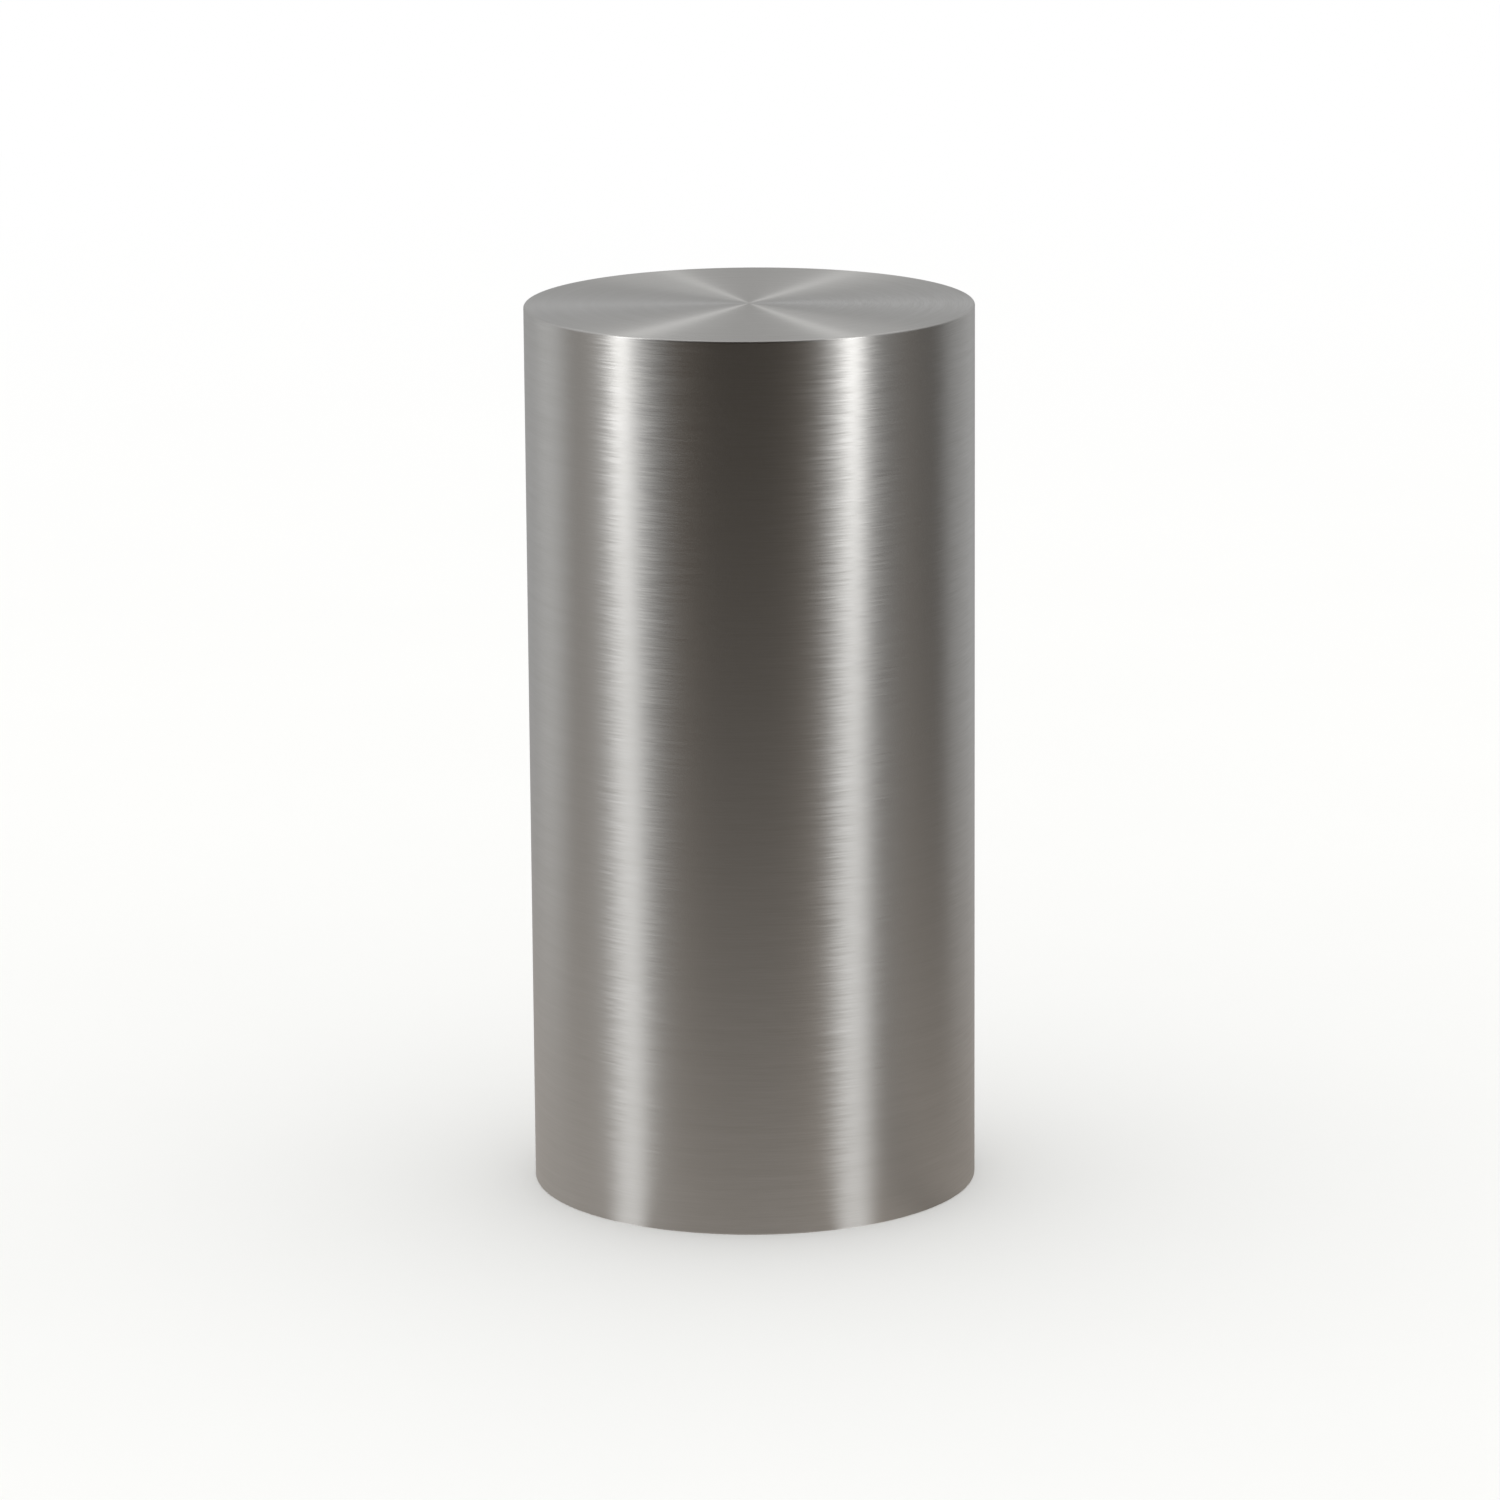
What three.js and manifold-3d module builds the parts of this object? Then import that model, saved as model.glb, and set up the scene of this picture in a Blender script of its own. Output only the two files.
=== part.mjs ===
// Fixed safety bollard: a bolt-down galvanised core under a brushed stainless lift-off sleeve.
// Millimetres, +Z up. The origin is the centre of the foot, on the floor.
import * as THREE from 'three';
import { mergeVertices } from 'three/addons/utils/BufferGeometryUtils.js';
import Module from 'manifold-3d';

const wasm = await Module();
wasm.setup();

// Driving dimensions
const DIAMETER = 300;
const HEIGHT = 600;
const GAP = 0.3; // left between pieces that touch

// Sleeve
const SHELL_WALL = 3;
const DISC_THICKNESS = 4;
const RIM_RADIUS = 2;
const FOOT_RADIUS = 1;
const SLEEVE_RADIUS = DIAMETER / 2;
const BORE_RADIUS = SLEEVE_RADIUS - SHELL_WALL;
const DISC_BOTTOM = HEIGHT - DISC_THICKNESS;

// Base plate, its gasket and its anchor holes
const BASE_RADIUS = 135;
const GASKET = 3;
const PLATE = 15;
const PLATE_BOTTOM = GASKET + GAP;
const PLATE_TOP = PLATE_BOTTOM + PLATE;
const ANCHOR_CIRCLE = 220;
const ANCHOR_HOLE = 18;
const ANCHOR_ANGLES = [45, 135, 225, 315];
const DRAIN_HOLE = 60;

// Core tube (168.3 x 8), its top plate and the rubber pad under the disc
const TUBE_RADIUS = 168.3 / 2;
const TUBE_WALL = 8;
const TOP_PLATE = 10;
const PAD_RADIUS = 70;
const PAD_THICKNESS = 12;
const PAD_TOP = DISC_BOTTOM - GAP;
const PAD_BOTTOM = PAD_TOP - PAD_THICKNESS;
const TOP_PLATE_TOP = PAD_BOTTOM - GAP;
const TOP_PLATE_BOTTOM = TOP_PLATE_TOP - TOP_PLATE;
const TUBE_BOTTOM = PLATE_TOP + GAP;
const TUBE_TOP = TOP_PLATE_BOTTOM - GAP;
const VENT_HOLE = 16;
const VENT_HEIGHT = 535;

// Socket under the disc, which drops over the core's top
const RING_INNER = 88;
const RING_OUTER = 94;
const RING_BOTTOM = 556;
const LINER_CLEARANCE = 0.6; // liner bore to core tube, on the radius
const LINER_FLANGE = 3;

// Clamp band, the ribs that carry it, and the two grub screws that bear on it
const CLAMP_HEIGHT = 185;
const BAND_INNER = 124;
const BAND_OUTER = 132;
const BAND_WIDTH = 40;
const BAND_BOTTOM = CLAMP_HEIGHT - BAND_WIDTH / 2;
const BAND_TOP = CLAMP_HEIGHT + BAND_WIDTH / 2;
const RIB = 10;
const RIB_FOOT = 130;
const RIB_TOP = 245;
const BOSS_DIAMETER = 26;
const BOSS_INNER = 134;
const GRUB = { diameter: 12, length: 16, socket: 6, socketDepth: 7 };
const THREAD_CLEARANCE = 0.35;

// Foot spacers and their screws
const SPACER_INNER = BASE_RADIUS + GAP;
const SPACER_OUTER = 146.5;
const SPACER_WIDTH = 36;
const SPACER_LEAD_IN = 4;
const QUARTERS = [0, 90, 180, 270];
const M5 = { diameter: 5, length: 20, head: 10, headDepth: 2.8, socket: 3, socketDepth: 2 };
const M8 = { diameter: 8, length: 25, head: 16, headDepth: 4.4, socket: 5, socketDepth: 3 };

// How finely round pieces are divided: whole multiples of 4, so that all reach their full width
const FINE = 96;
const ROUND = 48;
const SMALL = 16;

// ---------------------------------------------------------------- joining and cutting

function solidOf(geometry) {
  const bare = geometry.clone();
  bare.deleteAttribute('normal');
  bare.deleteAttribute('uv');
  const merged = mergeVertices(bare);
  const index = merged.index.array;
  const triangles = [];
  for (let i = 0; i < index.length; i += 3) {
    const [a, b, c] = index.slice(i, i + 3);
    if (a !== b && b !== c && c !== a) triangles.push(a, b, c);
  }
  return new wasm.Manifold(new wasm.Mesh({
    numProp: 3,
    vertProperties: merged.attributes.position.array,
    triVerts: Uint32Array.from(triangles),
  }));
}

function geometryOf(solid) {
  const { vertProperties, triVerts } = solid.getMesh();
  const geometry = new THREE.BufferGeometry();
  geometry.setAttribute('position', new THREE.BufferAttribute(vertProperties, 3));
  geometry.setIndex(new THREE.BufferAttribute(triVerts, 1));
  geometry.computeVertexNormals();
  return geometry;
}

function cut(geometry, tools) {
  return geometryOf(tools.reduce((left, tool) => left.subtract(solidOf(tool)), solidOf(geometry)));
}

function common(geometry, other) {
  return geometryOf(solidOf(geometry).intersect(solidOf(other)));
}

// ---------------------------------------------------------------- basic shapes

const radians = THREE.MathUtils.degToRad;

// A body turned about Z. The profile is [radius, height] pairs, up the outside and down the inside:
// it runs from axis to axis, or closes on itself where the body is hollow.
function turned(profile, segments) {
  const points = profile.map(([radius, height]) => new THREE.Vector2(radius, height));
  const hollow = profile[0][0] > 0;
  if (hollow) points.push(points[0].clone());
  return new THREE.LatheGeometry(points, segments).rotateX(Math.PI / 2);
}

// The points of a rounded corner from angle to angle + 90 degrees, for a profile
function corner(radius, height, bend, fromDegrees) {
  const steps = 3;
  const points = [];
  for (let i = 0; i <= steps; i += 1) {
    const angle = radians(fromDegrees + (90 * i) / steps);
    points.push([radius + bend * Math.cos(angle), height + bend * Math.sin(angle)]);
  }
  return points;
}

function ring(inner, outer, bottom, top) {
  return turned([[inner, bottom], [outer, bottom], [outer, top], [inner, top]], ROUND);
}

// A round bar along Z from bottom to top
function bar(radius, bottom, top, segments = SMALL) {
  return turned([[0, bottom], [radius, bottom], [radius, top], [0, top]], segments);
}

function hexBar(acrossFlats, bottom, top) {
  return bar(acrossFlats / Math.sqrt(3), bottom, top, 6);
}

// Lays a shape made along +Z out along +X, so that it points away from the bollard's axis
function outward(geometry, reach, height) {
  return geometry.rotateY(Math.PI / 2).translate(reach, 0, height);
}

function aroundAxis(geometry, degrees) {
  return geometry.rotateZ(radians(degrees));
}

// ---------------------------------------------------------------- screws, head at z = 0

function countersunkProfile({ diameter, length, head, headDepth }, grow) {
  const shank = diameter / 2 + grow;
  const rim = head / 2 + grow;
  const edge = 0.4; // straight edge of the head
  const point = diameter / 5;
  return [
    [0, -length - grow],
    [shank - point, -length - grow],
    [shank, -length - grow + point],
    [shank, -headDepth - edge],
    [rim, -edge],
    [rim, grow > 0 ? length : 0],
    [0, grow > 0 ? length : 0],
  ];
}

function countersunkScrew(size) {
  const socket = hexBar(size.socket, -size.socketDepth, 1);
  return cut(turned(countersunkProfile(size, 0), SMALL), [socket]);
}

// The hole that a countersunk screw sits in, open above its head
function countersunkHole(size) {
  return turned(countersunkProfile(size, GAP), SMALL);
}

function grubScrew() {
  const radius = GRUB.diameter / 2;
  const mouth = 0.8;
  const point = 2;
  const body = turned([
    [0, -GRUB.length],
    [radius - point, -GRUB.length],
    [radius, -GRUB.length + point],
    [radius, -mouth],
    [radius - mouth, 0],
    [0, 0],
  ], SMALL);
  return cut(body, [hexBar(GRUB.socket, -GRUB.socketDepth, 1)]);
}

// ---------------------------------------------------------------- sleeve

const screwHead = BAND_OUTER + GAP + GRUB.length; // distance of the grub screw's head from the axis

function sleeveShell() {
  const wall = turned([
    [BORE_RADIUS, 0],
    ...corner(SLEEVE_RADIUS - FOOT_RADIUS, FOOT_RADIUS, FOOT_RADIUS, 270),
    [SLEEVE_RADIUS, DISC_BOTTOM - GAP],
    [BORE_RADIUS, DISC_BOTTOM - GAP],
  ], FINE);
  const hole = GRUB.diameter / 2 + 2 * THREAD_CLEARANCE;
  const holes = [0, 180].map((side) => aroundAxis(
    outward(bar(hole, BORE_RADIUS - 10, SLEEVE_RADIUS + 10), 0, CLAMP_HEIGHT),
    side,
  ));
  return cut(wall, holes);
}

function sleeveTopDisc() {
  return turned([
    [0, DISC_BOTTOM],
    [SLEEVE_RADIUS, DISC_BOTTOM],
    ...corner(SLEEVE_RADIUS - RIM_RADIUS, HEIGHT - RIM_RADIUS, RIM_RADIUS, 0),
    [0, HEIGHT],
  ], FINE);
}

function socketLiner() {
  const bore = TUBE_RADIUS + LINER_CLEARANCE;
  const flangeTop = RING_BOTTOM - GAP;
  const flangeBottom = flangeTop - LINER_FLANGE;
  return turned([
    [bore + LINER_FLANGE, flangeBottom],
    [RING_OUTER, flangeBottom],
    [RING_OUTER, flangeTop],
    [RING_INNER - GAP, flangeTop],
    [RING_INNER - GAP, PAD_TOP - GAP],
    [bore, PAD_TOP - GAP],
    [bore, flangeTop],
  ], ROUND);
}

// Made along +X at the shell's wall, threaded right through
function boss() {
  const radius = BOSS_DIAMETER / 2;
  const seat = Math.sqrt(BORE_RADIUS ** 2 - radius ** 2) - 2 * GAP; // where the curved wall meets it
  const chamfer = 1.5;
  const body = turned([
    [0, BOSS_INNER],
    [radius - chamfer, BOSS_INNER],
    [radius, BOSS_INNER + chamfer],
    [radius, seat],
    [0, seat],
  ], SMALL);
  const thread = bar(GRUB.diameter / 2 + THREAD_CLEARANCE, BOSS_INNER - 5, seat + 5);
  return outward(cut(body, [thread]), 0, CLAMP_HEIGHT);
}

// ---------------------------------------------------------------- core

// The anchor holes and the drain hole, through whatever lies between the two heights
function floorHoles(bottom, top) {
  const anchors = ANCHOR_ANGLES.map((angle) => aroundAxis(
    bar(ANCHOR_HOLE / 2, bottom, top).translate(ANCHOR_CIRCLE / 2, 0, 0),
    angle,
  ));
  return [bar(DRAIN_HOLE / 2, bottom, top, ROUND / 2), ...anchors];
}

function baseGasket() {
  return cut(bar(BASE_RADIUS, 0, GASKET, ROUND), floorHoles(-1, GASKET + 1));
}

const spacerMiddle = PLATE_BOTTOM + PLATE / 2; // height of the spacers' screws
const spacerScrewHead = SPACER_OUTER - GAP;

function basePlate() {
  const disc = bar(BASE_RADIUS, PLATE_BOTTOM, PLATE_TOP, ROUND);
  const tapped = QUARTERS.map((angle) => aroundAxis(
    outward(countersunkHole(M5), spacerScrewHead, spacerMiddle),
    angle,
  ));
  return cut(disc, [...floorHoles(0, PLATE_TOP + 5), ...tapped]);
}

function coreTube() {
  const tube = ring(TUBE_RADIUS - TUBE_WALL, TUBE_RADIUS, TUBE_BOTTOM, TUBE_TOP);
  const vents = outward(bar(VENT_HOLE / 2, -TUBE_RADIUS - 5, TUBE_RADIUS + 5), 0, VENT_HEIGHT);
  return cut(tube, [aroundAxis(vents, 45)]);
}

function coreTopPlate() {
  return ring(M8.diameter / 2 + GAP, TUBE_RADIUS, TOP_PLATE_BOTTOM, TOP_PLATE_TOP);
}

const padScrewHead = PAD_TOP - 2.5; // sunk below the pad, clear of the disc

function topPad() {
  const hole = countersunkHole(M8).translate(0, 0, padScrewHead);
  return cut(bar(PAD_RADIUS, PAD_BOTTOM, PAD_TOP, ROUND), [hole]);
}

// An upright plate with a step that the clamp band stands on, made in the XZ plane
function rib() {
  const inner = TUBE_RADIUS + GAP;
  const bottom = PLATE_TOP + GAP;
  const step = BAND_BOTTOM - GAP;
  const seat = BAND_INNER - 2 * GAP;
  const mouseHole = 14; // clears the tube's weld and drains
  const outline = new THREE.Shape();
  outline.moveTo(inner + mouseHole, bottom);
  outline.lineTo(RIB_FOOT, bottom);
  outline.lineTo(RIB_FOOT, step);
  outline.lineTo(seat, step);
  outline.lineTo(seat, BAND_TOP);
  outline.lineTo(inner, RIB_TOP);
  outline.lineTo(inner, bottom + mouseHole);
  outline.absarc(inner, bottom, mouseHole, Math.PI / 2, 0, true);
  const plate = new THREE.ExtrudeGeometry(outline, { depth: RIB, bevelEnabled: false, curveSegments: 6 });
  return plate.rotateX(Math.PI / 2).translate(0, RIB / 2, 0);
}

// A block cut from a turned ring, with a sloped lead-in at its outer top edge
function footSpacer() {
  const bottom = PLATE_BOTTOM;
  const around = turned([
    [SPACER_INNER, bottom],
    [SPACER_OUTER, bottom],
    [SPACER_OUTER, PLATE_TOP - SPACER_LEAD_IN],
    [SPACER_OUTER - SPACER_LEAD_IN, PLATE_TOP],
    [SPACER_INNER, PLATE_TOP],
  ], FINE);
  const middle = (SPACER_INNER + SPACER_OUTER) / 2;
  const slice = new THREE.BoxGeometry(40, SPACER_WIDTH, 60).translate(middle, 0, bottom);
  const hole = outward(countersunkHole(M5), spacerScrewHead, spacerMiddle);
  return cut(common(around, slice), [hole]);
}

// ---------------------------------------------------------------- finishes

const finish = (color, roughness, metalness) => (
  () => new THREE.MeshStandardMaterial({ color, roughness, metalness })
);
const brushedStainless = finish(0xa3a09b, 0.32, 1);
const plainStainless = finish(0xb4b3b0, 0.45, 1);
const galvanised = finish(0x9ba1a4, 0.55, 0.9);
const zincPlated = finish(0xc0c3c2, 0.4, 1);
const blackRubber = finish(0x1d1d1e, 0.85, 0);
const naturalNylon = finish(0xd9d3c4, 0.5, 0);

// ---------------------------------------------------------------- assembly

const bollard = new THREE.Group();
const sleeve = new THREE.Group();
const core = new THREE.Group();
bollard.add(sleeve, core);

// Adds a piece to a group; an angle turns it about the bollard's axis
function add(group, name, geometry, material, degrees = 0) {
  const piece = new THREE.Mesh(geometry, material());
  piece.name = name;
  const turn = new THREE.Group();
  turn.rotation.z = radians(degrees);
  turn.add(piece);
  group.add(turn);
  return piece;
}

add(sleeve, 'sleeve_shell', sleeveShell(), brushedStainless);
add(sleeve, 'sleeve_top_disc', sleeveTopDisc(), brushedStainless);
add(sleeve, 'socket_ring', ring(RING_INNER, RING_OUTER, RING_BOTTOM, PAD_TOP), plainStainless);
add(sleeve, 'socket_liner', socketLiner(), naturalNylon);

const sides = { right: 0, left: 180 };
for (const [side, angle] of Object.entries(sides)) {
  add(sleeve, `boss_${side}`, boss(), plainStainless, angle);
  const screw = add(sleeve, `clamp_screw_${side}`, grubScrew(), plainStainless, angle);
  screw.rotation.y = Math.PI / 2;
  screw.position.set(screwHead, 0, CLAMP_HEIGHT);
}

add(core, 'base_gasket', baseGasket(), blackRubber);
add(core, 'base_plate', basePlate(), galvanised);
add(core, 'core_tube', coreTube(), galvanised);
add(core, 'core_top_plate', coreTopPlate(), galvanised);
add(core, 'top_pad', topPad(), blackRubber);
const padScrew = add(core, 'top_pad_screw', countersunkScrew(M8), zincPlated);
padScrew.position.z = padScrewHead;

add(core, 'clamp_band', ring(BAND_INNER, BAND_OUTER, BAND_BOTTOM, BAND_TOP), galvanised);

QUARTERS.forEach((angle, i) => {
  add(core, `rib_${i + 1}`, rib(), galvanised, angle);
  add(core, `foot_spacer_${i + 1}`, footSpacer(), naturalNylon, angle);
  const screw = add(core, `spacer_screw_${i + 1}`, countersunkScrew(M5), zincPlated, angle);
  screw.rotation.y = Math.PI / 2;
  screw.position.set(spacerScrewHead, 0, spacerMiddle);
});

export default bollard;
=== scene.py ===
import math

import bmesh
import bpy
from mathutils import Matrix, Vector, noise


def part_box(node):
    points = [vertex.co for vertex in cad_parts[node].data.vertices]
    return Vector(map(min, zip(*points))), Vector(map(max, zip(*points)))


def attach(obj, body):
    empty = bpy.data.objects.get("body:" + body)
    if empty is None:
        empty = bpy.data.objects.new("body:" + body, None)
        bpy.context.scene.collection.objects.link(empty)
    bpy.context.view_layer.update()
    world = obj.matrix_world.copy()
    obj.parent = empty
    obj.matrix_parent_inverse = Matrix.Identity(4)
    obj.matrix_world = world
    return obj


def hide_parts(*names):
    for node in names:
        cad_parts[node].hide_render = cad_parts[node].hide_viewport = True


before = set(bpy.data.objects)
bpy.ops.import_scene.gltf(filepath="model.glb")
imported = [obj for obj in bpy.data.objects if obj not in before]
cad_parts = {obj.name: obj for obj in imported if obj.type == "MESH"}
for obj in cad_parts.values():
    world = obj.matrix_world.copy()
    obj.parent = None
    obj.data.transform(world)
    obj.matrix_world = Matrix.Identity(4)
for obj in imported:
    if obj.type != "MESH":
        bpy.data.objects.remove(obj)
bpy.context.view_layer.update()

# Safety bollard: a brushed stainless sleeve that drops over a galvanised steel core.
# Metres, +Z up, on the floor at the origin.
MM = 0.001
FULL_TURN = 2 * math.pi
UP = Vector((0, 0, 1))


# ------------------------------------------------------------------ sizes

def corners(cad_node):
    """A CAD node's lowest and highest corners."""
    return tuple(Vector(corner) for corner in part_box(cad_node))


def mirrored_sides():
    """The two grub screws' sides: the name, and the turn about the bollard's axis from +X."""
    return (("right", 0.0), ("left", math.pi))


RADIUS = corners("sleeve_shell")[1].x
HEIGHT = corners("sleeve_top_disc")[1].z
DISC_BOTTOM = corners("sleeve_top_disc")[0].z
WALL = 3 * MM
BORE = RADIUS - WALL
RIM = 1.5 * MM
FOOT_ROUND = 1 * MM
GAP = 0.3 * MM  # between neighbouring pieces

RING_OUTER = corners("socket_ring")[1].x
RING_INNER = RING_OUTER - 6 * MM
TUBE_OUTER = corners("core_tube")[1].x
TUBE_INNER = TUBE_OUTER - 8 * MM
LINER_BORE = TUBE_OUTER + 0.6 * MM

PLATE_RADIUS = corners("base_plate")[1].x
PLATE_TOP = corners("base_plate")[1].z
BAND_OUTER = corners("clamp_band")[1].x
BAND_INNER = BAND_OUTER - 8 * MM
BAND_BOTTOM = corners("clamp_band")[0].z
BAND_TOP = corners("clamp_band")[1].z
CLAMP_HEIGHT = (BAND_BOTTOM + BAND_TOP) / 2

GRUB_RADIUS = 6 * MM
GRUB_HEAD = corners("clamp_screw_right")[1].x
GRUB_TIP = corners("clamp_screw_right")[0].x
GRUB_SOCKET = 6 * MM
BOSS_RADIUS = 13 * MM
BOSS_INNER = corners("boss_right")[0].x
SHELL_HOLE = 6.7 * MM
M12_PITCH = 1.75 * MM

ANCHOR_CIRCLE = 110 * MM  # these three are radii
ANCHOR_HOLE = 9 * MM
DRAIN_HOLE = 30 * MM
DIAGONALS = [FULL_TURN * (i + 0.5) / 4 for i in range(4)]
QUARTERS = [FULL_TURN * i / 4 for i in range(4)]
VENT_RADIUS = 8 * MM
VENT_HEIGHT = 535 * MM
RIB = 10 * MM
RIB_BEADS_MM = ((48, 92), (128, 172), (208, 238))  # the welds up each rib, from and to
SPACER_OUTER = corners("foot_spacer_1")[1].x
SPACER_WIDTH = 36 * MM
LAY_MM = 0.4  # between the cross-sections of a weld


# ------------------------------------------------------------------ colours and shader nodes

# nearly all of a noise's values lie between these
LOW, HIGH = 0.3, 0.7


def linear(hex_colour):
    """An sRGB hex colour as the linear RGBA that shaders take."""
    channels = [int(hex_colour[i:i + 2], 16) / 255 for i in (1, 3, 5)]
    return (*[c / 12.92 if c <= 0.04045 else ((c + 0.055) / 1.055) ** 2.4 for c in channels], 1)


def tones(*hex_colours, low=LOW, high=HIGH):
    """A colour ramp's stops: the colours spread evenly from low to high."""
    gap = (high - low) / (len(hex_colours) - 1)
    return [(low + gap * i, linear(colour)) for i, colour in enumerate(hex_colours)]


def pattern_scale(size_mm):
    """The scale that makes a pattern's patches about that size."""
    return 1 / (size_mm * MM)


def node(tree, kind, inputs=None, stops=None, **settings):
    """Adds a shader node. An input is a value, an output socket that feeds it, or a node whose first
    output does. Stops are a ramp's."""
    made = tree.nodes.new("ShaderNode" + kind)
    for name, value in settings.items():
        setattr(made, name, value)
    if stops:
        ramp = made.color_ramp.elements
        while len(ramp) < len(stops):
            ramp.new(0.5)
        for element, (place, colour) in zip(ramp, stops):
            element.position = place
            element.color = colour
    for name, value in (inputs or {}).items():
        if isinstance(value, bpy.types.Node):
            value = value.outputs[0]
        if isinstance(value, bpy.types.NodeSocket):
            tree.links.new(value, made.inputs[name])
        else:
            made.inputs[name].default_value = value
    return made


def surface(name, **sockets):
    """A new material with its node tree, its Principled shader and the piece's own coordinates."""
    made = bpy.data.materials.new(name)
    made.use_nodes = True
    tree = made.node_tree
    shader = tree.nodes["Principled BSDF"]
    for socket, value in sockets.items():
        shader.inputs[socket.replace("_", " ")].default_value = value
    return made, tree, shader, node(tree, "TexCoord").outputs["Object"]


def feed(tree, shader, colour, roughness=None, height=None, depth_mm=0.0, strength=1.0):
    """Links the nodes that work out a surface's colour, roughness and relief to its shader."""
    tree.links.new(colour.outputs[0], shader.inputs["Base Color"])
    if roughness:
        tree.links.new(roughness.outputs[0], shader.inputs["Roughness"])
    if height:
        bump = node(tree, "Bump", {"Height": height, "Distance": depth_mm * MM, "Strength": strength})
        tree.links.new(bump.outputs[0], shader.inputs["Normal"])


def turned_lines(tree, place, pitch_mm, length_mm, detail=2.0):
    """Noise in lines that run round the piece's Z axis: pitch apart, and length long at the wall."""
    axes = node(tree, "SeparateXYZ", {0: place}).outputs
    flat = node(tree, "CombineXYZ", {0: axes[0], 1: axes[1]})
    away = node(tree, "VectorMath", {0: flat}, operation="NORMALIZE")
    reach = node(tree, "VectorMath", {0: flat}, operation="LENGTH").outputs["Value"]
    per_radian = RADIUS / (length_mm * MM)
    spread = node(tree, "VectorMath", {0: away, "Scale": per_radian}, operation="SCALE")
    across = node(tree, "Math", {0: reach, 1: axes[2]}, operation="ADD")
    lines = node(tree, "Math", {0: across, 1: pattern_scale(pitch_mm)}, operation="MULTIPLY")
    lift = node(tree, "CombineXYZ", {2: lines})
    where = node(tree, "VectorMath", {0: spread, 1: lift}, operation="ADD")
    return node(tree, "TexNoise", {"Vector": where, "Scale": 1.0, "Detail": detail, "Roughness": 0.6})


# ------------------------------------------------------------------ materials

# how far a brush line's surface leans sideways, as a slope
LINE_LEAN = 0.022


def brushed_stainless(name, roughness, spread):
    """Stainless 304, linished with a fine belt round the girth and in circles on the disc, satin.
    The lines throw light out across themselves, so each lamp becomes one upright band, and the
    band's edges are ragged where a line leans. 180 grit leaves lines 0.05 mm apart, too fine to
    show, so they are drawn 0.8 mm apart."""
    made, tree, shader, place = surface(name, Metallic=1.0, Anisotropic=spread, Anisotropic_Rotation=0.25)
    hairlines = turned_lines(tree, place, 0.8, 26, 2.0)
    belts = turned_lines(tree, place, 5.0, 150, 1.0)
    both = node(tree, "Mix", {0: 0.35, 2: hairlines, 3: belts})
    colour = node(tree, "ValToRGB", {0: both}, stops=tones("#c4c3c0", "#cbcac8"))
    rough = node(tree, "MapRange", {0: both, 1: LOW, 2: HIGH, 3: roughness + 0.02, 4: roughness - 0.02})
    feed(tree, shader, colour, rough)
    # each line leans a little to one side along its length
    lean = node(tree, "MapRange", {0: hairlines, 1: LOW, 2: HIGH, 3: -LINE_LEAN, 4: LINE_LEAN})
    tangent = node(tree, "Tangent", direction_type="RADIAL", axis="Z")
    push = node(tree, "VectorMath", {0: tangent, "Scale": lean}, operation="SCALE")
    plain = node(tree, "NewGeometry").outputs["Normal"]
    leaned = node(tree, "VectorMath", {0: plain, 1: push}, operation="ADD")
    normal = node(tree, "VectorMath", {0: leaned}, operation="NORMALIZE")
    tree.links.new(normal.outputs[0], shader.inputs["Normal"])
    tree.links.new(tangent.outputs[0], shader.inputs["Tangent"])
    return made


def mill_stainless():
    """Stainless 304 with the 2B finish it leaves the mill with: an even soft grey, frosted by fine
    pickling, that blurs what it reflects, with faint cloudy handling marks."""
    made, tree, shader, place = surface("mill_stainless_2b", Metallic=0.8)
    clouds = node(tree, "TexNoise", {"Vector": place, "Scale": pattern_scale(45), "Detail": 3.0})
    grain = node(tree, "TexNoise", {"Vector": place, "Scale": pattern_scale(1.5), "Detail": 3.0})
    colour = node(tree, "ValToRGB", {0: clouds}, stops=tones("#aeadaa", "#bdbcb9"))
    rough = node(tree, "MapRange", {0: clouds, 1: LOW, 2: HIGH, 3: 0.42, 4: 0.33})
    feed(tree, shader, colour, rough, grain, 0.02)
    return made


def turned_stainless():
    """Stainless bar cut on a lathe: bright, with the tool's fine feed rings round the axis. The feed of
    0.1 mm is drawn at 0.5 mm."""
    made, tree, shader, place = surface("turned_stainless", Metallic=1.0)
    rings = turned_lines(tree, place, 0.5, 60)
    colour = node(tree, "ValToRGB", {0: rings}, stops=tones("#b0afac", "#c9c8c5"))
    rough = node(tree, "MapRange", {0: rings, 1: LOW, 2: HIGH, 3: 0.36, 4: 0.24})
    feed(tree, shader, colour, rough, rings, 0.05)
    return made


def stainless_weld():
    """TIG weld in stainless, pickled: frosty grey and duller than the plate, with straw left in places."""
    made, tree, shader, place = surface("pickled_stainless_weld", Metallic=1.0)
    patches = node(tree, "TexNoise", {"Vector": place, "Scale": pattern_scale(14), "Detail": 3.0})
    frost = node(tree, "TexNoise", {"Vector": place, "Scale": pattern_scale(0.8), "Detail": 3.0})
    colour = node(tree, "ValToRGB", {0: patches}, stops=tones("#a8a7a4", "#b5b0a4", "#a39a86", high=0.8))
    rough = node(tree, "MapRange", {0: frost, 1: LOW, 2: HIGH, 3: 0.62, 4: 0.46})
    feed(tree, shader, colour, rough, frost, 0.08)
    return made


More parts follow.
